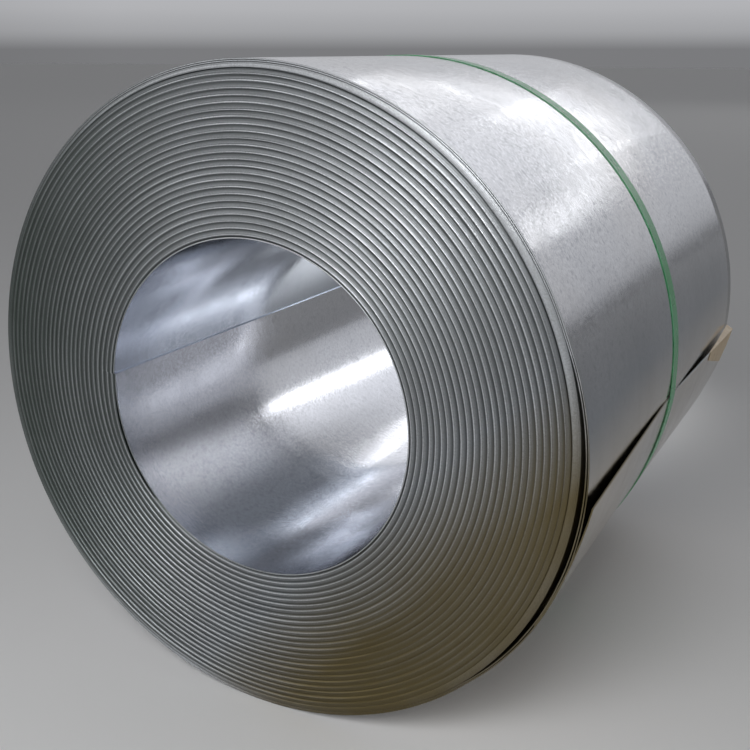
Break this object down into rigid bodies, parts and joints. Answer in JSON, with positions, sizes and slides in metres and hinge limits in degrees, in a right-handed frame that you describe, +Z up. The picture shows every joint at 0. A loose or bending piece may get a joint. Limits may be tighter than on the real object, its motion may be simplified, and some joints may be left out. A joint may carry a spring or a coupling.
{
  "type": "steel coil",
  "caption": "Coil of galvanised steel strip lying on its side, with a round bore for a mandrel, ridged wound ends, a loose outer tail and a plastic strap round the middle.",
  "frame": {"origin": "middle of the whole part's box, on the floor that the coil lies on", "axes": "+Y along the bore, from the end seen in the picture to the far end; +Z up; +X to the side with the tail"},
  "size_m": [1.0047, 1.014, 0.991],
  "materials": {
    "galvanised_steel": "galvanised, fine grain, half glossy",
    "green_strap": "glossy",
    "tan_tape": "half glossy"
  },
  "bodies": {
    "root": {"coil": "galvanised_steel", "strap": "green_strap", "tape": "tan_tape"}
  },
  "joints": []
}
